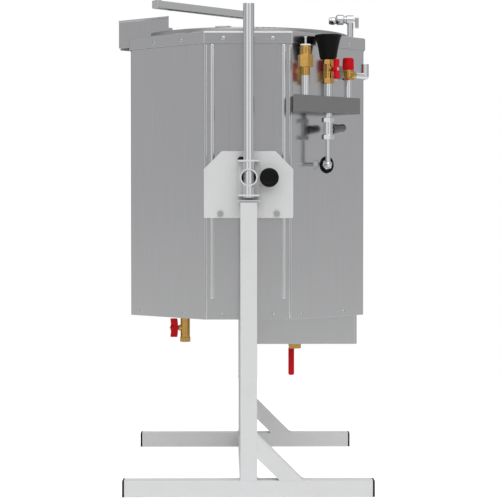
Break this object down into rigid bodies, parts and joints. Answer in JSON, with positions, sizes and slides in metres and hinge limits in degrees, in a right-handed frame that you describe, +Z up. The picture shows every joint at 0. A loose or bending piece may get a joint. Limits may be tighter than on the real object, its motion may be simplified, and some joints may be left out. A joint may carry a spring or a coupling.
{
  "type": "tilting cooking kettle",
  "caption": "Floor-standing jacketed cooking kettle that tilts on trunnions to pour, with a side lever, hand stirrer, spout, water tap and jacket fittings.",
  "frame": {"origin": "underside of the stand's crossbar, below the tilt axis and midway between the rails", "axes": "+Z up, -X towards the pouring side, +Y along the tilt axis away from the lever side"},
  "size_m": [0.644, 0.922, 1.214],
  "materials": {
    "stand_paint": "smooth light grey powder coat",
    "black_plastic": "fine moulded texture",
    "zinc_steel": "zinc plated",
    "bronze": "turned",
    "stainless_panel": "ground sheet, satin",
    "stainless_vessel": "ground, satin",
    "polished_steel": "polished",
    "lagging_wool": "mineral wool",
    "element_sheath": "annealed sheath",
    "bracket_grey": "satin dark grey",
    "brass": "forged and machined",
    "red_handle": "glossy coating"
  },
  "bodies": {
    "stand": {"near_rail": "stand_paint", "near_post": "stand_paint", "near_brace": "stand_paint", "far_rail": "stand_paint", "far_post": "stand_paint", "far_brace": "stand_paint", "crossbar": "stand_paint", "rail_end_caps": "black_plastic", "near_bearing_housing": "stand_paint", "far_bearing_housing": "stand_paint", "bearing_carriers": "zinc_steel", "trunnion_bushes": "bronze", "housing_bolts": "zinc_steel"},
    "kettle": {"near_side_panel": "stainless_panel", "far_side_panel": "stainless_panel", "front_panel": "stainless_panel", "rear_panel": "stainless_panel", "top_cover": "stainless_panel", "bottom_plate": "stainless_panel", "vessel": "stainless_vessel", "jacket": "stainless_panel", "lagging": "lagging_wool", "heating_elements": "element_sheath", "control_box": "stainless_panel", "near_trunnion": "stainless_vessel", "far_trunnion": "stainless_vessel", "tilt_lever": "polished_steel", "lever_socket": "zinc_steel", "lever_screw": "black_plastic", "index_sleeve": "zinc_steel", "pipe_bracket": "bracket_grey", "vent_pipe": "polished_steel", "fill_pipe": "polished_steel", "safety_pipe": "polished_steel", "pipe_manifold": "polished_steel", "inlet_grommet": "black_plastic", "vent_valve": "brass", "fill_valve": "brass", "funnel": "black_plastic", "safety_valve": "brass", "discharge_elbow": "polished_steel", "drain_valve": "brass", "outlet_valve": "brass", "tap_body": "polished_steel", "tap_nozzle": "black_plastic", "spout": "stainless_panel", "stirrer_bridge": "stainless_vessel", "panel_screws": "stainless_panel"},
    "index_plunger": {"index_pin": "polished_steel", "index_knob": "black_plastic"},
    "stirrer": {"stirrer_shaft": "stainless_vessel", "stirrer_arm": "stainless_vessel", "arm_bolt": "zinc_steel", "stirrer_paddle": "stainless_vessel"},
    "fill_valve_handle": {"fill_handle": "red_handle"},
    "drain_valve_handle": {"drain_handle": "red_handle"},
    "outlet_valve_lever": {"outlet_lever": "red_handle"},
    "tap_handle": {"tap_lever": "polished_steel"},
    "safety_valve_cap": {"safety_cap": "red_handle"},
    "vent_valve_pin": {"vent_pin": "polished_steel"}
  },
  "joints": [
    {"name": "kettle_tilt", "type": "hinge", "parent": "stand", "child": "kettle", "pos_m": [0, 0, 0.764], "axis": [0, -1, 0], "range_deg": [0, 90]},
    {"name": "index_lock", "type": "slide", "parent": "kettle", "child": "index_plunger", "axis": [0, 1, 0], "range_m": [0, 0.008]},
    {"name": "stirrer_turn", "type": "hinge", "parent": "kettle", "child": "stirrer", "pos_m": [0, 0, 1.144], "axis": [0, 0, 1], "range_deg": [-195, 125]},
    {"name": "fill_valve_turn", "type": "hinge", "parent": "kettle", "child": "fill_valve_handle", "pos_m": [0.21355, -0.28426, 1.035], "axis": [0.7071, -0.7071, 0], "range_deg": [0, 90]},
    {"name": "drain_valve_turn", "type": "hinge", "parent": "kettle", "child": "drain_valve_handle", "pos_m": [-0.185, 0, 0.374], "axis": [-1, 0, 0], "range_deg": [0, 90]},
    {"name": "outlet_valve_turn", "type": "hinge", "parent": "kettle", "child": "outlet_valve_lever", "pos_m": [0.1185, 0.024, 0.329], "axis": [0, 1, 0], "range_deg": [0, 90]},
    {"name": "tap_turn", "type": "hinge", "parent": "kettle", "child": "tap_handle", "pos_m": [0.289, 0.06, 1.193], "axis": [1, 0, 0], "range_deg": [0, 90]},
    {"name": "safety_cap_turn", "type": "hinge", "parent": "kettle", "child": "safety_valve_cap", "pos_m": [0.25279, -0.21673, 1.05], "axis": [0, 0, 1], "range_deg": [0, 90]},
    {"name": "vent_pin_slide", "type": "slide", "parent": "kettle", "child": "vent_valve_pin", "axis": [0, 0, 1], "range_m": [-0.008, 0.004]}
  ]
}
